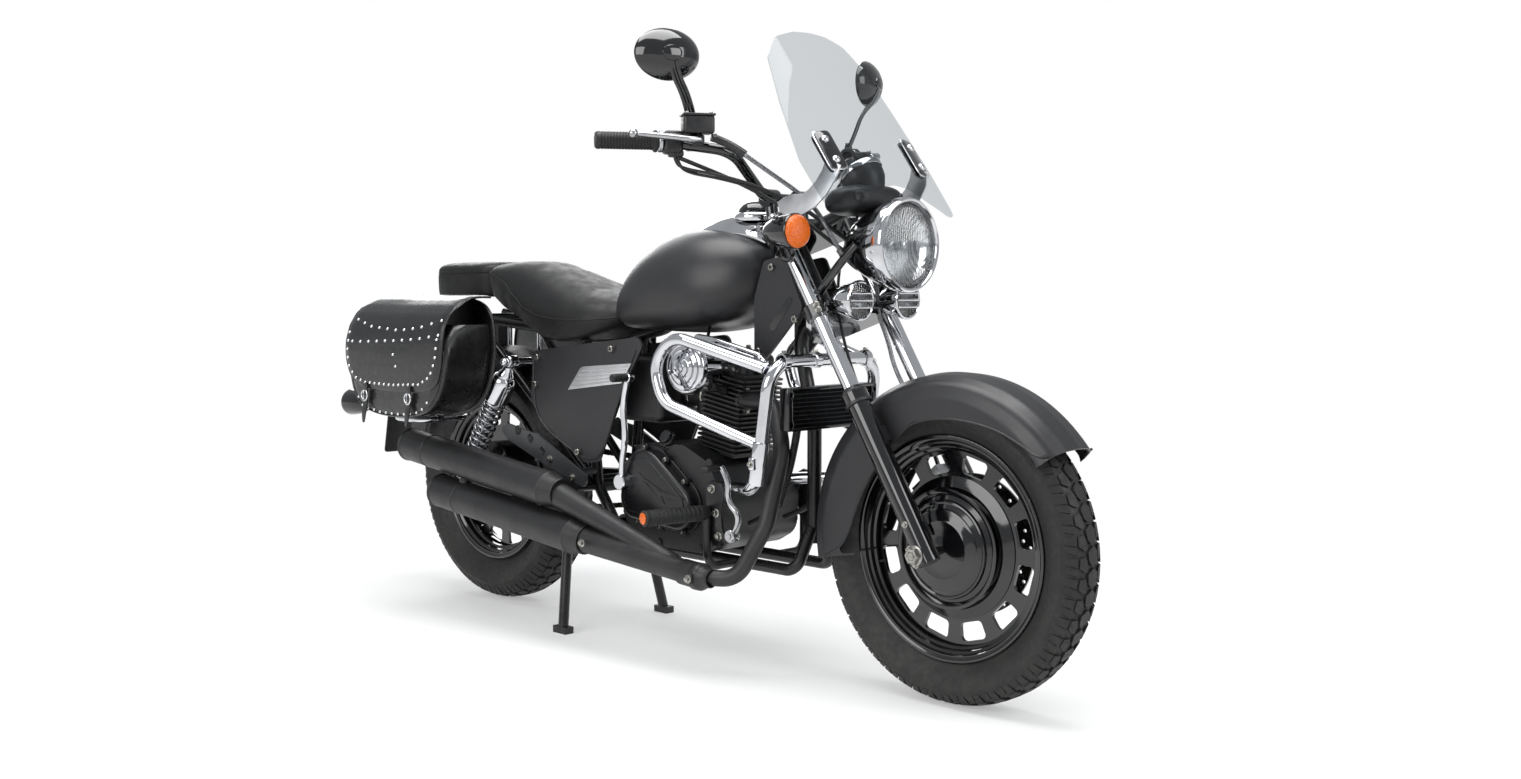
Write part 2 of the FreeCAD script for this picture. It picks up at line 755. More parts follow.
def frame_tubes():
    """The head tube, backbone, down tube and seat rails."""
    head_low = on_axis(lower_clamp_height + clamp_depth / 2 + head_clearance)
    head_high = on_axis(upper_clamp_height - clamp_depth / 2 - head_clearance)
    head = rod(head_low, head_high, head_tube_radius)
    neck = head_low + (head_high - head_low) * 0.6
    low_neck = head_low + (head_high - head_low) * 0.2
    saddle = V(pivot_x, 0, backbone_z)
    knee = V(pivot_x + (neck.x - pivot_x) / 2, 0, backbone_z + tank_rail_drop)
    backbone = tube([neck, knee, saddle], backbone_radius, frame_bend)
    down = tube([low_neck, V(downtube_knee_x, 0, downtube_knee_z),
                 V(downtube_x, 0, downtube_knee_z - frame_bend * 2),
                 V(downtube_x, 0, downtube_low_z)], frame_tube_radius, frame_bend)
    rail = tube([saddle, V(pivot_x - frame_bend, seat_rail_half, seat_rail_z),
                 V(seat_rail_rear_x, seat_rail_half, seat_rail_rear_z)], slim_tube_radius, frame_bend / 2)
    hanger_z = rail_height(fender_hanger_x)
    fender_cross = rod(V(fender_hanger_x, -seat_rail_half, hanger_z),
                       V(fender_hanger_x, seat_rail_half, hanger_z),
                       frame_tube_radius / 2)
    cross_z = seat_rail_z - frame_tube_radius
    top_cross = rod(V(pivot_x, -seat_rail_half, cross_z), V(pivot_x, seat_rail_half, cross_z),
                    slim_tube_radius)
    whole = fuse([head, backbone, down, rail, mirrored(rail), top_cross, fender_cross])
    return whole.cut(rod(head_low - steering_up * overrun, head_high + steering_up * overrun,
                         stem_radius + running_gap))


def frame_cradle():
    """The lower tubes under and behind the engine, the braces, and the places of both stands."""
    cradle = tube([V(downtube_x, frame_tube_radius / 2, downtube_low_z + frame_tube_radius * 2),
                   V(downtube_x, cradle_half, cradle_z), V(cradle_front_x, cradle_half, cradle_z),
                   V(pivot_x + frame_bend, cradle_half, cradle_z), V(pivot_x, cradle_half, pivot_z),
                   V(pivot_x, seat_rail_half, seat_rail_z - frame_tube_radius)],
                  slim_tube_radius, frame_bend / 2)
    brace = rod(V(pivot_x, cradle_half, pivot_z), V(0, seat_rail_half, rail_height(0)), brace_radius)
    cross = rod(V(pivot_x, -cradle_half, pivot_z), V(pivot_x, cradle_half, pivot_z), frame_tube_radius)
    pin_half = swingarm_y + swingarm_half_width
    pin = rod(V(pivot_x, -pin_half, pivot_z), V(pivot_x, pin_half, pivot_z), frame_tube_radius / 2)
    ear_y = cradle_half + frame_tube_radius / 2
    ear = rod(V(stand_pivot_x, ear_y - stand_tube_radius, stand_pivot_z),
              V(stand_pivot_x, ear_y, stand_pivot_z),
              stand_tube_radius * 1.7)
    web = box(V(stand_pivot_x, ear_y - stand_tube_radius, stand_pivot_z - stand_tube_radius / 2),
              V(pivot_x + frame_bend, ear_y, stand_pivot_z + stand_tube_radius))
    side_pivot = V(side_stand_x, side_stand_y, side_stand_z)
    lug_end = side_pivot - side_stand_axis * side_stand_radius * 3
    lug = rod(V(side_stand_x, cradle_half, cradle_z), lug_end, side_stand_radius * 0.8)
    lug_pin = rod(lug_end, side_pivot + side_stand_axis * side_stand_radius * 1.4, side_stand_pin_radius)
    halves = [cradle, brace, ear, web]
    whole = fuse(halves + [mirrored(shape) for shape in halves] + [cross, pin, lug, lug_pin])
    return whole.cut(rod(V(stand_pivot_x, -stand_half, stand_pivot_z),
                         V(stand_pivot_x, stand_half, stand_pivot_z),
                         stand_tube_radius + running_gap))


case_rear_x = 600.0
case_length = 320.0
case_low_z = 232.0
case_height = 230.0
case_half_width = 118.0
case_corner = 46.0
case_outline_shares = [
    (0.0, 0.28), (0.10, 0.08), (0.30, 0.0), (0.80, 0.0), (0.98, 0.14), (1.0, 0.52), (0.86, 0.86),
    (0.62, 1.0), (0.22, 0.98), (0.02, 0.78)]


def engine_case():
    outline = shared((case_rear_x, case_low_z), (case_length, case_height), case_outline_shares)
    return side_panel(outline, case_corner, -case_half_width, 2 * case_half_width)


clutch_cover_x = 700.0
clutch_cover_z = 372.0
clutch_cover_radius = 82.0
clutch_cover_depth = 34.0
cover_lobe_x = 800.0
cover_lobe_z = 330.0
cover_lobe_radius = 56.0


def clutch_cover():
    outer = -case_half_width - clutch_cover_depth
    main = taper(V(clutch_cover_x, -case_half_width, clutch_cover_z),
                 V(clutch_cover_x, outer, clutch_cover_z),
                 clutch_cover_radius, clutch_cover_radius * 0.86)
    lobe = taper(V(cover_lobe_x, -case_half_width, cover_lobe_z), V(cover_lobe_x, outer * 0.94, cover_lobe_z),
                 cover_lobe_radius, cover_lobe_radius * 0.86)
    return fuse([main, lobe])


def stator_cover():
    outer = case_half_width + clutch_cover_depth
    main = taper(V(cover_lobe_x, case_half_width, clutch_cover_z - clutch_cover_depth),
                 V(cover_lobe_x, outer, clutch_cover_z - clutch_cover_depth),
                 clutch_cover_radius * 0.8, clutch_cover_radius * 0.7)
    lobe = taper(V(clutch_cover_x - clutch_cover_depth, case_half_width, clutch_cover_z),
                 V(clutch_cover_x - clutch_cover_depth, outer * 0.9, clutch_cover_z),
                 cover_lobe_radius, cover_lobe_radius * 0.86)
    bridge = rod(V(clutch_cover_x, case_half_width, clutch_cover_z),
                 V(clutch_cover_x, outer * 0.96, clutch_cover_z),
                 cover_lobe_radius * 0.8)
    return fuse([main, lobe, bridge])


cylinder_x = 838.0
cylinder_lean = 10.0
cylinder_half_length = 62.0
cylinder_half_width = 66.0
cylinder_core_share = 0.8
fin_count = 11
fin_thickness = 3.0
fin_pitch = 10.0
head_block_height = 62.0
rocker_height = 42.0
cylinder_base_z = 452.0


def engine_cylinder():
    """A leaned core with square cooling fins, the head with its own fins, and the rocker cover."""
    core_height = fin_count * fin_pitch
    half_x = cylinder_half_length
    half_y = cylinder_half_width
    core = box(V(-half_x * cylinder_core_share, -half_y * cylinder_core_share, -fin_pitch),
               V(half_x * cylinder_core_share, half_y * cylinder_core_share, core_height + head_block_height))
    pieces = [core]
    for i in range(fin_count + int(head_block_height / fin_pitch)):
        low = i * fin_pitch
        fin = box(V(-half_x, -half_y, low), V(half_x, half_y, low + fin_thickness))
        pieces.append(fin.makeFillet(half_x / 5, [e for e in fin.Edges if e.Length < fin_thickness * 1.01]))
    top = core_height + head_block_height
    rocker = box(V(-half_x * 0.75, -half_y * 0.72, top - overrun),
                 V(half_x * 0.75, half_y * 0.72, top + rocker_height))
    rocker = rocker.makeFillet(rocker_height / 3, [e for e in rocker.Edges if e.CenterOfMass.z > top])
    pieces.append(rocker)
    whole = fuse(pieces)
    whole.rotate(V(0, 0, 0), V(0, 1, 0), cylinder_lean)
    whole.translate(V(cylinder_x, 0, cylinder_base_z))
    return whole


carb_z = 560.0
carb_radius = 24.0
carb_front_x = 815.0
carb_rear_x = 700.0
airbox_rear_x = 560.0
airbox_length = 140.0
airbox_half_width = 96.0
airbox_low_z = 500.0
airbox_height = 150.0


def intake():
    """The carburettor behind the head, and the box that it breathes from."""
    throat = rod(V(carb_rear_x - overrun, 0, carb_z), V(carb_front_x, 0, carb_z), carb_radius)
    bowl = rod(V((carb_rear_x + carb_front_x) / 2, 0, carb_z - carb_radius * 2.4),
               V((carb_rear_x + carb_front_x) / 2, 0, carb_z + carb_radius * 1.8), carb_radius * 1.15)
    low = V(airbox_rear_x, -airbox_half_width, airbox_low_z)
    body = box(low, low + V(airbox_length, 2 * airbox_half_width, airbox_height))
    body = body.makeFillet(airbox_height / 8, body.Edges)
    return fuse([throat, bowl, body])


round_cover_x = 848.0
round_cover_z = 632.0
round_cover_radius = 56.0
round_cover_y = 176.0
round_cover_depth = 30.0
top_cover_rear_x = 840.0
top_cover_length = 220.0
top_cover_low_z = 650.0
top_cover_height = 52.0
top_cover_y = 120.0
top_cover_outline_shares = [(0.0, 0.1), (0.2, 0.0), (0.9, -0.1), (1.0, 0.1), (0.9, 0.9), (0.1, 1.0),
                            (0.0, 0.8)]


def round_cover():
    """The round chrome cover on the right, held by a stub to the engine's side."""
    outer = V(round_cover_x, -round_cover_y, round_cover_z)
    inner = outer + V(0, round_cover_depth, 0)
    disc = taper(inner, outer, round_cover_radius, round_cover_radius * 0.86)
    stub = rod(inner - V(0, overrun, 0), V(round_cover_x, -cylinder_half_width * 0.7, round_cover_z),
               round_cover_radius * 0.5)
    return fuse([disc, stub])


def top_cover():
    outline = shared((top_cover_rear_x, top_cover_low_z), (top_cover_length, top_cover_height),
                     top_cover_outline_shares)
    return side_panel(outline, top_cover_height / 4, -top_cover_y, sheet * 5)


# Exhaust
pipe_radius = 17.0
pipe_port_x = 898.0
pipe_port_y = 40.0
pipe_port_z = 560.0
pipe_front_x = 1086.0
pipe_front_y = 112.0
pipe_front_z = 470.0
pipe_down_x = 1076.0
pipe_down_y = 150.0
pipe_down_z = 320.0
pipe_turn_x = 1030.0
pipe_turn_y = 188.0
pipe_low_z = 210.0
pipe_bend = 75.0
collar_x = 965.0
collar_y = 218.0
collar_radius = 27.0
collar_length = 60.0
muffler_y = 226.0
muffler_radius = 40.0
upper_tail_x = -85.0
upper_tail_z = 408.0
lower_tail_x = 42.0
lower_tail_z = 304.0
upper_joint_x = 470.0
upper_joint_z = 346.0
lower_joint_x = 560.0
lower_joint_z = 250.0
collar_z = 214.0


def header_pipe():
    points = [
        V(pipe_port_x, -pipe_port_y, pipe_port_z),
        V(pipe_front_x - pipe_bend, -pipe_port_y * 1.4, pipe_port_z),
        V(pipe_front_x, -pipe_front_y, pipe_front_z), V(pipe_down_x, -pipe_down_y, pipe_down_z),
        V(pipe_turn_x, -pipe_turn_y, pipe_low_z), V(collar_x, -collar_y, pipe_low_z),
        V(collar_x - collar_length / 2, -collar_y, (pipe_low_z + collar_z) / 2)]
    return tube(points, pipe_radius, pipe_bend)


def muffler(tail, joint, collar, radius, neck_radius):
    """A straight can with an open tail and a coned front, and a neck that runs on to the collar."""
    line = unit(tail - joint)
    can = rod(joint, tail, radius).cut(rod(tail - line * radius, tail + line * overrun, radius - sheet))
    nose = taper(joint, joint - line * radius, radius, radius * 0.8)
    neck = taper(joint, collar, radius * 0.75, neck_radius)
    return fuse([can, nose, neck])


def mufflers():
    """Two cans, one above the other, whose necks meet in one collar."""
    collar = V(collar_x - collar_length, -collar_y, collar_z)
    high_collar = collar + V(-collar_length / 2, collar_radius / 4, collar_radius / 2)
    upper = muffler(V(upper_tail_x, -muffler_y, upper_tail_z), V(upper_joint_x, -muffler_y, upper_joint_z),
                    high_collar, muffler_radius, collar_radius * 0.6)
    lower = muffler(V(lower_tail_x, -muffler_y, lower_tail_z), V(lower_joint_x, -muffler_y, lower_joint_z),
                    collar + V(collar_length / 5, 0, 0), muffler_radius, collar_radius * 0.9)
    ring = rod(collar, V(collar_x, -collar_y, pipe_low_z), collar_radius)
    bracket_x = lower_tail_x + muffler_radius * 2.5
    bracket = rod(V(bracket_x, -muffler_y, upper_tail_z - muffler_radius * 0.5),
                  V(bracket_x, -muffler_y, lower_tail_z), muffler_radius / 3)
    return fuse([upper, lower, ring, bracket])


# Tank and seat
tank_neck_gap = 47.1
tank_length = 424.0
tank_low_z = 705.0
tank_height = 222.0
tank_half_width = 138.0
# (share of the length, low, high and half-width shares)
tank_station_shares = [
    (0.0, 0.10, 0.30, 0.52), (0.05, 0.02, 0.50, 0.74), (0.2, 0.0, 0.80, 0.92), (0.42, 0.0, 0.97, 1.0),
    (0.65, 0.03, 1.0, 1.0), (0.85, 0.12, 0.94, 0.82), (0.97, 0.30, 0.80, 0.52), (1.0, 0.40, 0.68, 0.34)]
tank_round_shares = [(0.0, 0.0), (0.62, 0.03), (0.95, 0.22), (1.0, 0.46), (0.84, 0.76), (0.45, 0.96),
                     (0.0, 1.0)]

tank_front_x = on_axis(upper_clamp_height).x - tank_neck_gap
tank_rear_x = tank_front_x - tank_length


def lofted_body(rear_x, length, low_z, height, half, stations, shares):
    sections = []
    for along, low, high, wide in stations:
        sections.append(body_section(rear_x + length * along, low_z + height * low, low_z + height * high,
                                     half * wide, shares))
    return lofted(sections)


def fuel_tank():
    return lofted_body(tank_rear_x, tank_length, tank_low_z, tank_height, tank_half_width,
                       tank_station_shares, tank_round_shares)


console_setback = 84.0
console_length = 190.0
console_half_width = 44.0
console_low_z = 880.0
console_height = 62.0
filler_setback = 102.0
filler_radius = 34.0
filler_height = 46.0
console_station_shares = [
    (0.0, 0.30, 0.44, 0.3), (0.15, 0.1, 0.72, 0.8), (0.5, 0.1, 0.9, 1.0), (0.85, 0.1, 0.95, 0.96),
    (1.0, 0.3, 0.8, 0.6)]


def tank_console(tank):
    """The bright strip along the tank's top, with the round black filler at its front."""
    console_rear_x = tank_front_x - console_setback - console_length
    strip = lofted_body(console_rear_x, console_length, console_low_z, console_height, console_half_width,
                        console_station_shares, tank_round_shares)
    base = V(tank_front_x - filler_setback, 0, console_low_z)
    filler = taper(base, base + V(0, 0, console_height * 0.8 + filler_height), filler_radius,
                   filler_radius * 0.8)
    return fuse([strip, filler]).cut(tank)


seat_rear_x = 70.0
seat_under_tank = 30.0
seat_low_z = 660.0
seat_height = 204.0
seat_half_width = 152.0
seat_station_shares = [
    (0.0, 0.66, 0.98, 0.72), (0.06, 0.52, 1.0, 0.78), (0.3, 0.36, 1.0, 0.82), (0.45, 0.14, 0.88, 0.92),
    (0.6, 0.06, 0.74, 1.0), (0.8, 0.10, 0.62, 0.98), (0.95, 0.2, 0.56, 0.74), (1.0, 0.28, 0.5, 0.6)]
seat_round_shares = [(0.0, 0.0), (0.8, 0.02), (0.98, 0.2), (1.0, 0.5), (0.92, 0.82), (0.6, 0.97), (0.0, 1.0)]
rear_pad_x = -185.0
rear_pad_low_z = 775.0
rear_pad_height = 92.0
rear_pad_half = 104.0
rear_pad_round = 26.0


def seat():
    seat_length = tank_rear_x + seat_under_tank - seat_rear_x
    return lofted_body(seat_rear_x, seat_length, seat_low_z, seat_height, seat_half_width,
                       seat_station_shares, seat_round_shares)


def rear_pad():
    low = V(rear_pad_x, -rear_pad_half, rear_pad_low_z)
    high = V(seat_rear_x - touch_gap, rear_pad_half, rear_pad_low_z + rear_pad_height)
    body = box(low, high)
    return body.makeFillet(rear_pad_round, body.Edges)


# Side covers and the covers beside the frame's neck
cover_y = 136.0
side_cover_rear_x = 292.0
side_cover_length = 400.0
side_cover_low_z = 400.0
side_cover_height = 292.0
side_cover_outline_shares = [
    (0.02, 0.86), (0.0, 0.45), (0.12, 0.28), (0.5, 0.0), (0.62, 0.02), (0.86, 0.66), (1.0, 0.94),
    (0.96, 1.0), (0.4, 0.92)]
insert_rear_x = 400.0
insert_length = 215.0
insert_low_z = 560.0
insert_height = 50.0
insert_outline_shares = [(0.0, 0.0), (0.9, 0.15), (1.0, 1.0), (0.2, 0.85)]


def side_cover():
    outline = shared((side_cover_rear_x, side_cover_low_z), (side_cover_length, side_cover_height),
                     side_cover_outline_shares)
    skin = side_panel(outline, sheet * 8, -cover_y - sheet, sheet * 2)
    pegs = []
    for along, up in ((0.2, 0.8), (0.75, 0.8)):
        start = V(side_cover_rear_x + side_cover_length * along, -cover_y,
                  side_cover_low_z + side_cover_height * up)
        pegs.append(rod(start, crosswise(start, -seat_rail_half), sheet * 2))
    return fuse([skin] + pegs)


def side_insert():
    outline = shared((insert_rear_x, insert_low_z), (insert_length, insert_height), insert_outline_shares)
    return side_panel(outline, sheet, -cover_y - sheet * 2, sheet)


neck_cover_y = 62.0
neck_cover_setback = 4.0
neck_cover_length = 138.0
neck_cover_low_z = 650.0
neck_cover_height = 215.0
neck_cover_outline_shares = [(0.0, 0.0), (0.2, -0.02), (1.0, 0.5), (0.62, 1.0), (0.2, 0.96), (0.0, 0.6)]

neck_cover_rear_x = tank_front_x - neck_cover_setback


def neck_cover():
    outline = shared((neck_cover_rear_x, neck_cover_low_z), (neck_cover_length, neck_cover_height),
                     neck_cover_outline_shares)
    skin = side_panel(outline, sheet * 5, -neck_cover_y - sheet, sheet * 2)
    middle = on_axis((lower_clamp_height + upper_clamp_height) / 2)
    peg = rod(crosswise(middle, -neck_cover_y), crosswise(middle, -head_tube_radius * 0.7), sheet * 3)
    return fuse([skin, peg])


# Rear fender, tail light, number plate and rear signals
rear_fender_radius = 342.0
rear_fender_half_width = 96.0
rear_fender_side_depth = 90.0
rear_fender_front_angle = 62.0
rear_fender_rear_angle = 158.0
tail_light_radius = 44.0
tail_light_depth = 70.0
plate_half_width = 92.0
plate_low_z = 352.0
plate_high_z = 480.0
plate_x = -402.0
plate_lean = 26.0
rear_signal_x = -440.0
rear_signal_half = 176.0
rear_signal_z = 494.0
rear_signal_stalk_x = -372.0


def rear_fender():
    shell = fender_shell(rear_axle, rear_fender_radius, rear_fender_half_width, rear_fender_side_depth,
                         rear_fender_front_angle, rear_fender_rear_angle)
    hanger_low = rear_axle.z + rear_fender_radius - sheet
    half = frame_tube_radius
    hanger = box(V(fender_hanger_x - half, -half, hanger_low - sheet),
                 V(fender_hanger_x + half, half, seat_rail_rear_z - frame_tube_radius))
    return fuse([shell, hanger])


def tail_light():
    angle = math.radians(rear_fender_rear_angle - 14)
    seat = rear_axle + V(rear_fender_radius * math.cos(angle), 0, rear_fender_radius * math.sin(angle))
    outward = V(math.cos(angle), 0, math.sin(angle))
    return taper(seat + outward * touch_gap - outward * sheet, seat + outward * tail_light_depth,
                 tail_light_radius, tail_light_radius * 0.8)


def plate_points(y):
    return [V(plate_x, y, plate_high_z), V(plate_x - plate_lean, y, plate_low_z)]


def tail_bracket():
    """The number plate's blank, its stem from the fender, and a bar with a signal at each end."""
    high, low = plate_points(-plate_half_width)
    across = V(0, 2 * plate_half_width, 0)
    plate = panel([high, low, low + across, high + across], sheet * 3, V(sheet, 0, 0))
    angle = math.radians(rear_fender_rear_angle)
    edge = rear_axle + V(rear_fender_radius * math.cos(angle), 0, rear_fender_radius * math.sin(angle))
    stem = rod(edge + V(overrun, 0, 0), V(plate_x + sheet / 2, 0, plate_high_z - sheet * 5), sheet * 4)
    bar = rod(V(rear_signal_stalk_x, -rear_signal_half, rear_signal_z),
              V(rear_signal_stalk_x, rear_signal_half, rear_signal_z), signal_stalk_radius * 0.7)
    link = rod(V(rear_signal_stalk_x, 0, rear_signal_z), V(plate_x, 0, plate_high_z - sheet * 5), sheet * 3)
    bowls = []
    for side in (-1, 1):
        back = V(rear_signal_stalk_x, side * rear_signal_half, rear_signal_z)
        bowls.append(taper(back, V(rear_signal_x, back.y, back.z), signal_radius * 0.45, signal_radius))
    return fuse([plate, stem, bar, link] + bowls)


def rear_signal_lenses():
    face = V(rear_signal_x, rear_signal_half, rear_signal_z)
    return pair(taper(face, face - V(signal_lens_depth, 0, 0), signal_radius - sheet, signal_radius * 0.6))


# Saddlebags
bag_rear_x = -213.0
bag_length = 432.0
bag_low_z = 482.0
bag_height = 292.0
bag_inner_y = 190.0
bag_depth = 140.0
bag_wall = 4.0
bag_lid_gap = 1.0
bag_lid_thickness = 5.0
bag_corner = 60.0
bag_mouth_share = 0.8
bag_hinge_share = 0.93
bag_flap_share = 0.9
hinge_bead_radius = 4.5
bag_side_shares = [
    (0.06, 0.92), (0.0, 0.42), (0.08, 0.08), (0.34, 0.0), (0.74, 0.02), (0.92, 0.2), (1.0, 0.6),
    (0.94, 1.0), (0.3, 1.0)]
# (share of the depth from the inner face, share of the height)
bag_end_shares = [(0.0, 0.0), (0.85, 0.0), (1.0, 0.12), (1.0, 0.66), (0.62, 0.94), (0.3, 1.0), (0.0, 1.0)]
lid_drop_share = 0.26
lid_cap_share = 0.7
lid_opening = 75.0


def bag_block(shrink):
    """The bag's outer form, or the room inside it when shrunk by its wall."""
    length = bag_length - 2 * shrink
    height = bag_height - 2 * shrink
    depth = bag_depth - 2 * shrink
    outline = shared((bag_rear_x + shrink, bag_low_z + shrink), (length, height), bag_side_shares)
    side = side_panel(outline, bag_corner, bag_inner_y + shrink, depth)
    ends = [V(bag_rear_x - overrun, bag_inner_y + shrink + depth * out, bag_low_z + shrink + height * up)
            for out, up in bag_end_shares]
    end = panel(ends, bag_corner / 2, V(bag_length + 2 * overrun, 0, 0))
    return side.common(end)


hinge_y = bag_inner_y - bag_lid_gap - bag_lid_thickness / 2
hinge_z = bag_low_z + bag_height * bag_hinge_share


def bag_room(near_y, low_z):
    """Everything round the bag that lies outwards of one plane and above another."""
    reach = bag_lid_thickness + bag_lid_gap + overrun
    return box(V(bag_rear_x - reach, near_y, low_z),
               V(bag_rear_x + bag_length + reach, bag_inner_y + bag_depth + reach,
                 bag_low_z + bag_height + reach))


def hinge_line(radius):
    """The bead along the bag's inner top edge that its lid turns about."""
    return rod(V(bag_rear_x + bag_corner, hinge_y, hinge_z),
               V(bag_rear_x + bag_length - bag_corner, hinge_y, hinge_z), radius)


def saddlebag():
    """A leather body, hollow and open at the top, whose inner wall stands up to the lid's hinge."""
    shell = bag_block(0).cut(bag_block(bag_wall))
    mouth = bag_room(bag_inner_y + bag_wall, bag_low_z + bag_height * bag_mouth_share)
    shell = shell.cut(mouth).cut(bag_room(bag_inner_y - overrun, hinge_z))
    return fuse([shell, hinge_line(hinge_bead_radius)])


def bag_lid():
    """A flap that covers the bag's top and hangs down its outer face."""
    cover = bag_block(-bag_lid_gap - bag_lid_thickness).cut(bag_block(-bag_lid_gap))
    flap = bag_room(bag_inner_y + bag_depth * bag_flap_share, bag_low_z + bag_height * lid_drop_share)
    cap = bag_room(bag_inner_y, bag_low_z + bag_height * lid_cap_share)
    back = bag_room(bag_inner_y - bag_lid_gap - bag_lid_thickness - overrun, hinge_z)
    return cover.common(fuse([flap, cap, back])).cut(hinge_line(hinge_bead_radius + 2 * touch_gap))


bag_rail_radius = 7.0
bag_rail_y = 250.0


def bag_rails():
    """A bent bright bar under each bag, from the frame's rear rail."""
    low = bag_low_z - bag_rail_radius
    front = bag_rear_x + bag_length * 0.5
    rear = bag_rear_x + bag_length * 0.2
    strut_y = rear_fender_half_width + sheet * 5
    loop = tube([V(rear, strut_y, seat_rail_rear_z), V(rear, strut_y, low), V(rear, bag_rail_y, low),
                 V(front, bag_rail_y, low), V(front, strut_y, low), V(front, strut_y, seat_rail_rear_z)],
                bag_rail_radius, bag_rail_radius * 4)
    peg_z = seat_rail_rear_z - bag_rail_radius * 2
    pegs = [rod(V(x, strut_y, peg_z), V(x, seat_rail_half, peg_z), bag_rail_radius * 0.8)
            for x in (front, rear)]
    return pair(fuse([loop] + pegs))


# Rear suspension
shock_y = 150.0
shock_top_x = 230.0
shock_top_z = 623.0
shock_low_x = 47.0
shock_low_z = 345.0
shock_eye_radius = 16.0
shock_body_radius = 14.0
shock_spring_radius = 27.0
shock_cover_radius = 30.0
shock_eye_half_width = 13.0
swingarm_y = 112.0
swingarm_half_height = 22.0
swingarm_half_width = 13.0


def shocks():
    top = V(shock_top_x, shock_y, shock_top_z)
    low = V(shock_low_x, shock_y, shock_low_z)
    line = unit(top - low)
    length = (top - low).Length
    pieces = [rod(low, top, shock_body_radius)]
    for point in (top, low):
        pieces.append(rod(crosswise(point, shock_y - shock_eye_half_width),
                          crosswise(point, shock_y + shock_eye_half_width),
                          shock_eye_radius))
    pieces.append(rod(low + line * length * 0.18, low + line * length * 0.66, shock_spring_radius))
    pieces.append(rod(low + line * length * 0.66, low + line * length * 0.86, shock_cover_radius))
    pieces.append(rod(crosswise(top, seat_rail_half), crosswise(top, shock_y), shock_eye_radius * 0.6))
    return pair(fuse(pieces))


def swingarm():
    """Two side arms from the pivot to the rear axle, the axle, and the shocks' lower bosses."""
    pieces = [rod(crosswise(rear_axle, -swingarm_y - swingarm_half_width * 2),
                  crosswise(rear_axle, swingarm_y + swingarm_half_width * 2),
                  axle_radius)]
    pivot = V(pivot_x, 0, pivot_z)
    for side in (-1, 1):
        y = side * swingarm_y
        up = V(0, 0, swingarm_half_height)
        a = crosswise(pivot, y - swingarm_half_width)
        b = crosswise(rear_axle - V(swingarm_half_height * 1.5, 0, 0), y - swingarm_half_width)
        pieces.append(panel([a - up, a + up, b + up, b - up], swingarm_half_height,
                            V(0, 2 * swingarm_half_width, 0)))
        boss = V(shock_low_x, side * shock_y, shock_low_z)
        pieces.append(rod(crosswise(boss, y), crosswise(boss, side * (shock_y - shock_eye_half_width)),
                          shock_eye_radius))
    cross_x = pivot_x - swingarm_half_height * 2.2
    pieces.append(rod(V(cross_x, -swingarm_y, pivot_z), V(cross_x, swingarm_y, pivot_z),
                      swingarm_half_height * 0.8))
    return fuse(pieces)


# Drive chain and its guard on the left
front_sprocket_x = 640.0
front_sprocket_radius = 34.0
front_sprocket_z = 345.0
chain_half_height = 7.0
chain_width = 14.0


def drive_chain():
    """Two straight runs and the turns round both sprockets, as one band."""
    mid_y = sprocket_y + sprocket_thickness / 2
    rear = crosswise(rear_axle, mid_y - chain_width / 2)
    front = V(front_sprocket_x, mid_y - chain_width / 2, front_sprocket_z)
    across = V(0, chain_width, 0)
    outer = belt(rear, sprocket_radius + 2 * chain_half_height, front,
                 front_sprocket_radius + 2 * chain_half_height, across)
    inner = belt(rear, sprocket_radius + touch_gap, front, front_sprocket_radius, across)
    return outer.cut(inner)


def belt(rear, rear_radius, front, front_radius, across):
    """The solid that a tight belt round two discs encloses."""
    line = front - rear
    angle = math.acos((rear_radius - front_radius) / line.Length)
    heading = math.atan2(line.z, line.x)
    points = []
    for sign in (1, -1):
        turn = heading + sign * angle
        normal = V(math.cos(turn), 0, math.sin(turn))
        points.append((rear + normal * rear_radius, front + normal * front_radius))
    wedge = Part.makePolygon([points[0][0], points[0][1], points[1][1], points[1][0], points[0][0]])
    middle = Part.Face(wedge).extrude(across)
    return fuse([middle, rod(rear, rear + across, rear_radius), rod(front, front + across, front_radius)])


# Radiator, guards, pegs and pedals
cooler_x = 1100.0
cooler_thickness = 26.0
cooler_half_width = 138.0
cooler_low_z = 512.0
cooler_height = 88.0
guard_radius = 13.5
guard_x = 1102.0
guard_half = 165.0
guard_top_z = 652.0
guard_post_low_x = 1062.0
guard_post_low_z = 392.0
guard_loop_rear_x = 800.0
guard_loop_half = 205.0
guard_loop_high_z = 700.0
guard_loop_low_z = 560.0
guard_loop_foot_z = 482.0
guard_bend = 60.0


def oil_cooler():
    low = V(cooler_x, -cooler_half_width, cooler_low_z)
    body = box(low, low + V(cooler_thickness, 2 * cooler_half_width, cooler_height))
    stay = box(V(downtube_x, -frame_tube_radius / 2, cooler_low_z + cooler_height * 0.4),
               V(cooler_x + overrun, frame_tube_radius / 2, cooler_low_z + cooler_height * 0.6))
    return fuse([body, stay])


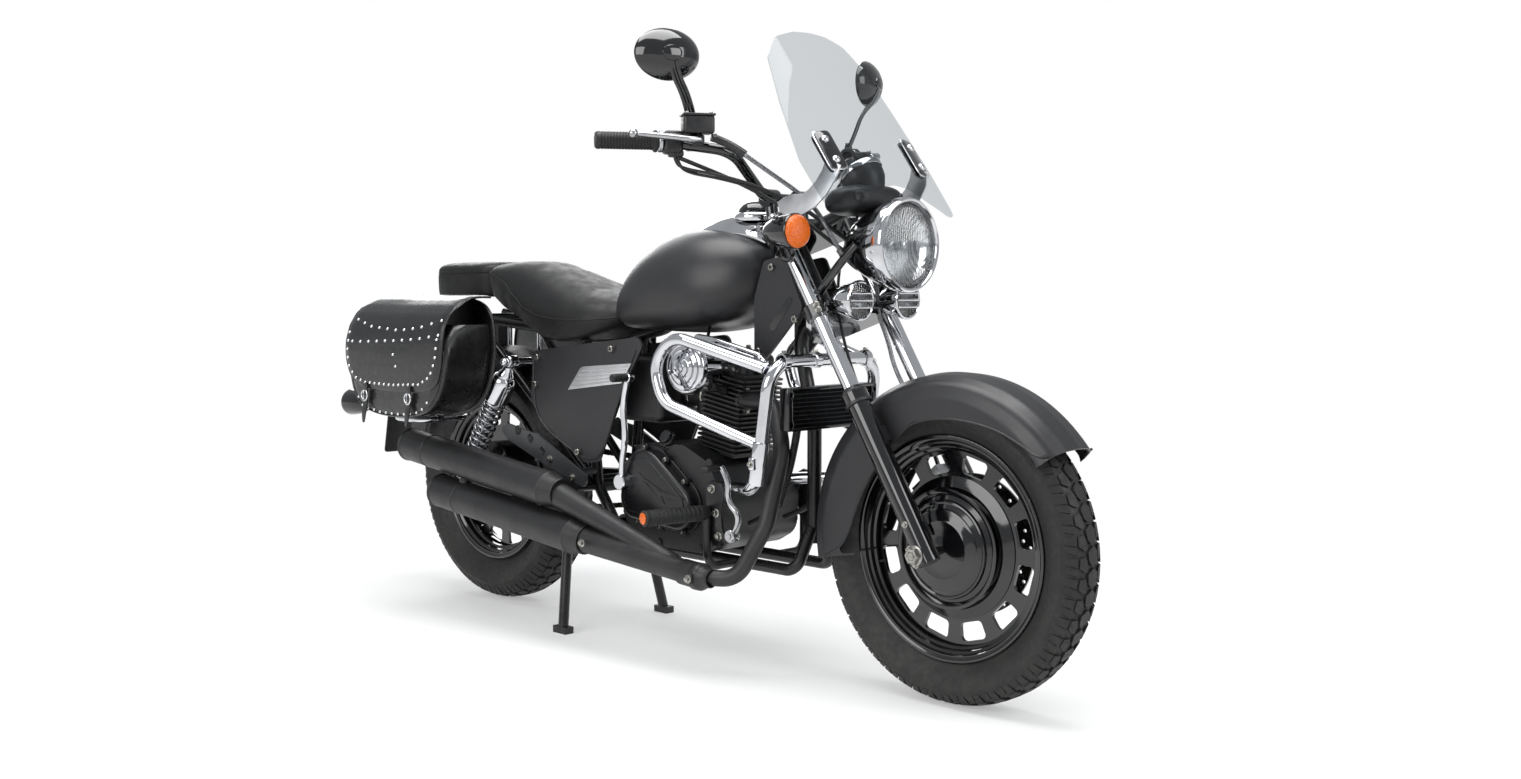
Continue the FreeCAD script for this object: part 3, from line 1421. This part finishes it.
def crash_guard():
    """A bright bar across the machine, down each side, and a long loop back on each side."""
    top = V(guard_x, guard_half, guard_top_z)
    post = [V(guard_x, 0, guard_top_z), top, V(guard_post_low_x, guard_half, guard_post_low_z),
            V(case_rear_x + case_length - guard_radius, case_half_width - guard_radius,
              guard_post_low_z - guard_radius)]
    half = tube(post, guard_radius, guard_bend)
    loop_points = [
        top - V(guard_radius, 0, guard_radius),
        V(guard_loop_rear_x + guard_bend, guard_loop_half, guard_loop_high_z),
        V(guard_loop_rear_x, guard_loop_half, guard_loop_high_z - guard_bend),
        V(guard_loop_rear_x + guard_bend / 2, guard_loop_half, guard_loop_low_z),
        V(guard_post_low_x + guard_radius, guard_half, guard_loop_foot_z)]
    loop = tube(loop_points, guard_radius * 0.95, guard_bend)
    tab = rod(V(guard_x, 0, guard_top_z), V(downtube_x - guard_radius * 2, 0, guard_top_z),
              guard_radius * 0.8)
    return fuse([half, loop, mirrored(half), mirrored(loop), tab])


peg_x = 905.0
peg_z = 330.0
peg_inner = 150.0
peg_length = 150.0
peg_radius = 15.0
peg_plate_half = 40.0


def rider_pegs():
    """Folding pegs on flat plates that the cradle carries."""
    start = V(peg_x, peg_inner, peg_z)
    peg = rod(start, start + V(-peg_radius * 2, peg_length, 0), peg_radius)
    arm = tube([V(peg_x, cradle_half, cradle_z), V(peg_x, peg_inner, cradle_z), start], peg_radius * 0.6,
               peg_radius * 2)
    return pair(fuse([peg, arm]))


heel_plate_rear_x = 190.0
heel_plate_length = 330.0
heel_plate_low_z = 345.0
heel_plate_height = 130.0
heel_plate_y = 150.0
heel_plate_outline_shares = [(0.0, 0.9), (0.1, 1.0), (0.45, 0.85), (1.0, 0.2), (0.96, 0.0), (0.5, 0.35),
                             (0.1, 0.7)]


def heel_plates():
    outline = shared((heel_plate_rear_x, heel_plate_low_z), (heel_plate_length, heel_plate_height),
                     heel_plate_outline_shares)
    plate = side_panel(outline, sheet * 4, heel_plate_y, sheet * 2)
    arm_z = pivot_z + swingarm_half_height + moving_gap + sheet * 3
    arm = rod(V(pivot_x, cradle_half, arm_z), V(pivot_x, heel_plate_y + sheet, arm_z), sheet * 3)
    return pair(fuse([plate, arm]))


pedal_radius = 6.0
brake_pedal_length = 120.0


def brake_pedal():
    pivot = V(peg_x - peg_plate_half, -peg_inner * 0.9, peg_z - peg_plate_half)
    toe = V(peg_x + brake_pedal_length, -peg_inner * 1.15, peg_z + peg_plate_half)
    arm = tube([pivot, V(peg_x + brake_pedal_length * 0.5, -peg_inner, pivot.z), toe], pedal_radius,
               brake_pedal_length / 3)
    pad = rod(toe, toe - V(0, peg_plate_half, 0), pedal_radius * 1.6)
    link = rod(pivot, V(peg_x, -peg_inner, pivot.z), pedal_radius)
    return fuse([arm, pad, link])


def gear_lever():
    pivot = V(peg_x - peg_plate_half, peg_inner * 0.9, peg_z - peg_plate_half)
    toe = V(peg_x + brake_pedal_length, peg_inner * 1.15, peg_z + peg_plate_half / 2)
    arm = tube([pivot, V(peg_x + brake_pedal_length * 0.5, peg_inner, pivot.z), toe], pedal_radius,
               brake_pedal_length / 3)
    pad = rod(toe, toe + V(0, peg_plate_half, 0), pedal_radius * 1.4)
    link = rod(pivot, V(peg_x, peg_inner, pivot.z), pedal_radius)
    return fuse([arm, pad, link])


kick_x = 640.0
kick_z = 380.0
kick_height = 190.0


def kick_starter():
    hub = V(kick_x, -case_half_width, kick_z)
    out = hub - V(0, clutch_cover_depth * 1.4, 0)
    shaft = rod(hub, out, pedal_radius * 1.5)
    arm = tube([out, out + V(-kick_height * 0.12, 0, kick_height * 0.5), out + V(0, 0, kick_height)],
               pedal_radius, kick_height)
    foot = rod(out + V(0, 0, kick_height), out + V(0, -clutch_cover_depth, kick_height), pedal_radius * 1.3)
    return fuse([shaft, arm, foot])


# Stands
stand_pivot_x = 402.0
stand_pivot_z = 232.0
stand_foot_x = 430.0
stand_half = 118.0
stand_foot_half = 158.0
stand_tube_radius = 12.0
stand_foot_length = 46.0
stand_foot_height = 8.0
stand_swing = 78.0
side_stand_x = 700.0
side_stand_z = 226.0
side_stand_y = 142.0
side_stand_length = 190.0
side_stand_radius = 9.0
side_stand_pin_radius = 6.3
side_stand_swing = 92.0
side_stand_tilt = 21.0
side_stand_axis = V(0, math.cos(math.radians(side_stand_tilt)), math.sin(math.radians(side_stand_tilt)))


def centre_stand():
    pivot = V(stand_pivot_x, stand_half, stand_pivot_z)
    foot = V(stand_foot_x, stand_foot_half, stand_foot_height)
    leg = rod(pivot, foot, stand_tube_radius)
    pad = box(foot - V(stand_foot_length / 2, stand_tube_radius, stand_foot_height),
              foot + V(stand_foot_length / 2, stand_tube_radius, stand_foot_height))
    cross = rod(V(stand_pivot_x, -stand_half, stand_pivot_z), V(stand_pivot_x, stand_half, stand_pivot_z),
                stand_tube_radius)
    floor = box(V(stand_pivot_x - stand_foot_length * 4, -stand_foot_half * 2, -stand_foot_length),
                V(stand_pivot_x + stand_foot_length * 4, stand_foot_half * 2, 0))
    return fuse([leg, pad, mirrored(leg), mirrored(pad), cross]).cut(floor)


def side_stand():
    """Folded back along the frame: an eye on the frame's pin, the leg and its foot."""
    pivot = V(side_stand_x, side_stand_y, side_stand_z)
    half = side_stand_axis * side_stand_radius
    eye = rod(pivot - half, pivot + half, side_stand_radius * 1.6)
    end = pivot + V(-side_stand_length, side_stand_radius * 2, -side_stand_radius)
    leg = rod(pivot, end, side_stand_radius)
    foot = box(end - V(side_stand_radius * 2, side_stand_radius, side_stand_radius / 2),
               end + V(side_stand_radius * 2, side_stand_radius * 2, side_stand_radius / 2))
    bore = rod(pivot - half * 2, pivot + half * 2, side_stand_pin_radius + running_gap)
    return fuse([eye, leg, foot]).cut(bore)


# The whole machine, body by body
tank = fuel_tank()
screen = windscreen()
frame_nodes = {
    "frame": frame_tubes(),
    "frame_cradle": frame_cradle(),
    "engine_case": engine_case(),
    "engine_covers": Part.makeCompound([clutch_cover(), stator_cover()]),
    "engine_cylinder": engine_cylinder(),
    "intake": intake(),
    "chrome_covers": fuse([round_cover(), top_cover()]),
    "exhaust": fuse([header_pipe(), mufflers()]),
    "fuel_tank": tank,
    "tank_console": tank_console(tank),
    "seat": seat(),
    "rear_pad": rear_pad(),
    "side_covers": pair(side_cover()),
    "side_inserts": pair(side_insert()),
    "neck_covers": pair(neck_cover()),
    "rear_fender": rear_fender(),
    "tail_light": tail_light(),
    "tail_bracket": tail_bracket(),
    "rear_signal_lenses": rear_signal_lenses(),
    "saddlebag_left": saddlebag(),
    "saddlebag_right": mirrored(saddlebag()),
    "bag_rails": bag_rails(),
    "shocks": shocks(),
    "swingarm": swingarm(),
    "drive_chain": drive_chain(),
    "oil_cooler": oil_cooler(),
    "crash_guard": crash_guard(),
    "rider_pegs": rider_pegs(),
    "heel_plates": heel_plates(),
    "foot_controls": Part.makeCompound([brake_pedal(), gear_lever()]),
    "kick_starter": kick_starter()}
steering_nodes = {
    "fork_clamps": fork_clamps(),
    "fork_stanchions": fork_stanchions(),
    "fork_sliders": fork_sliders(),
    "front_fender": front_fender(),
    "handlebar": handlebar(),
    "grips": grips(),
    "controls": controls(),
    "levers": levers(),
    "mirrors": mirrors(),
    "headlamp": headlamp(),
    "headlamp_lens": headlamp_lens(),
    "fog_lamps": fog_lamps(),
    "front_signals": front_signals(),
    "front_signal_lenses": front_signal_lenses(),
    "instruments": instruments(),
    "windscreen": screen,
    "screen_brackets": screen_brackets(screen),
    "brake_caliper": brake_caliper()}
front_wheel_nodes = {
    "front_tyre": tyre(front_axle, front_tyre_radius, front_tyre_half_width, front_rim_radius,
                       front_rim_half_width),
    "front_wheel_disc": wheel(front_axle, front_rim_radius, front_rim_half_width, front_hub_radius,
                              front_hub_half_width, front_hub_dome_radius, window_inner),
    "brake_rotor": brake_rotor()}
rear_wheel_nodes = {
    "rear_tyre": tyre(rear_axle, rear_tyre_radius, rear_tyre_half_width, rear_rim_radius,
                      rear_rim_half_width),
    "rear_wheel_disc": wheel(rear_axle, rear_rim_radius, rear_rim_half_width, rear_hub_radius,
                             rear_hub_half_width, rear_hub_dome_radius, rear_window_inner),
    "rear_sprocket": rear_sprocket()}
bodies = {
    "frame": frame_nodes,
    "steering": steering_nodes,
    "front_wheel": front_wheel_nodes,
    "rear_wheel": rear_wheel_nodes,
    "centre_stand": {"centre_stand": centre_stand()},
    "side_stand": {"side_stand": side_stand()},
    "left_lid": {"saddlebag_lid_left": bag_lid()},
    "right_lid": {"saddlebag_lid_right": mirrored(bag_lid())}}

nodes = {}
for group in bodies.values():
    nodes.update(group)

# Where pieces meet, the first of a pair makes room for the ones after it.
fitted_pairs = [
    ("frame_cradle", "frame"), ("fuel_tank", "frame"), ("seat", "frame", "frame_cradle", "fuel_tank"),
    ("neck_covers", "frame", "fuel_tank"), ("rear_fender", "frame", "frame_cradle"),
    ("bag_rails", "frame"), ("swingarm", "frame_cradle"), ("drive_chain", "engine_case", "frame_cradle"),
    ("oil_cooler", "frame"), ("crash_guard", "frame", "engine_case"), ("rider_pegs", "frame_cradle"),
    ("heel_plates", "frame_cradle"), ("foot_controls", "rider_pegs"), ("engine_cylinder", "engine_case"),
    ("intake", "engine_cylinder"), ("side_covers", "intake", "frame", "frame_cradle"),
    ("chrome_covers", "engine_cylinder"), ("exhaust", "engine_cylinder"), ("tail_light", "rear_fender"),
    ("tail_bracket", "rear_fender"), ("shocks", "frame", "frame_cradle", "swingarm"),
    ("kick_starter", "engine_covers"), ("handlebar", "fork_clamps"), ("fog_lamps", "fork_clamps"),
    ("instruments", "fork_clamps", "handlebar"), ("screen_brackets", "fork_clamps", "fork_stanchions"),
    ("headlamp", "fork_stanchions"), ("instruments", "headlamp"), ("front_signals", "fork_stanchions"),
    ("grips", "handlebar"), ("controls", "handlebar"), ("levers", "controls"), ("mirrors", "controls"),
    ("front_fender", "fork_sliders"), ("brake_caliper", "fork_sliders", "front_fender")]
for first, *others in fitted_pairs:
    for other in others:
        nodes[first] = nodes[first].cut(nodes[other])
whole_box = FreeCAD.BoundBox()
for shape in nodes.values():
    whole_box.add(shape.optimalBoundingBox(False, False))
shift = V(-whole_box.Center.x, -whole_box.Center.y, 0)
os.makedirs("parts", exist_ok=True)
for name, shape in nodes.items():
    shape.translate(shift)
    shape.exportStep("parts/" + name + ".step")
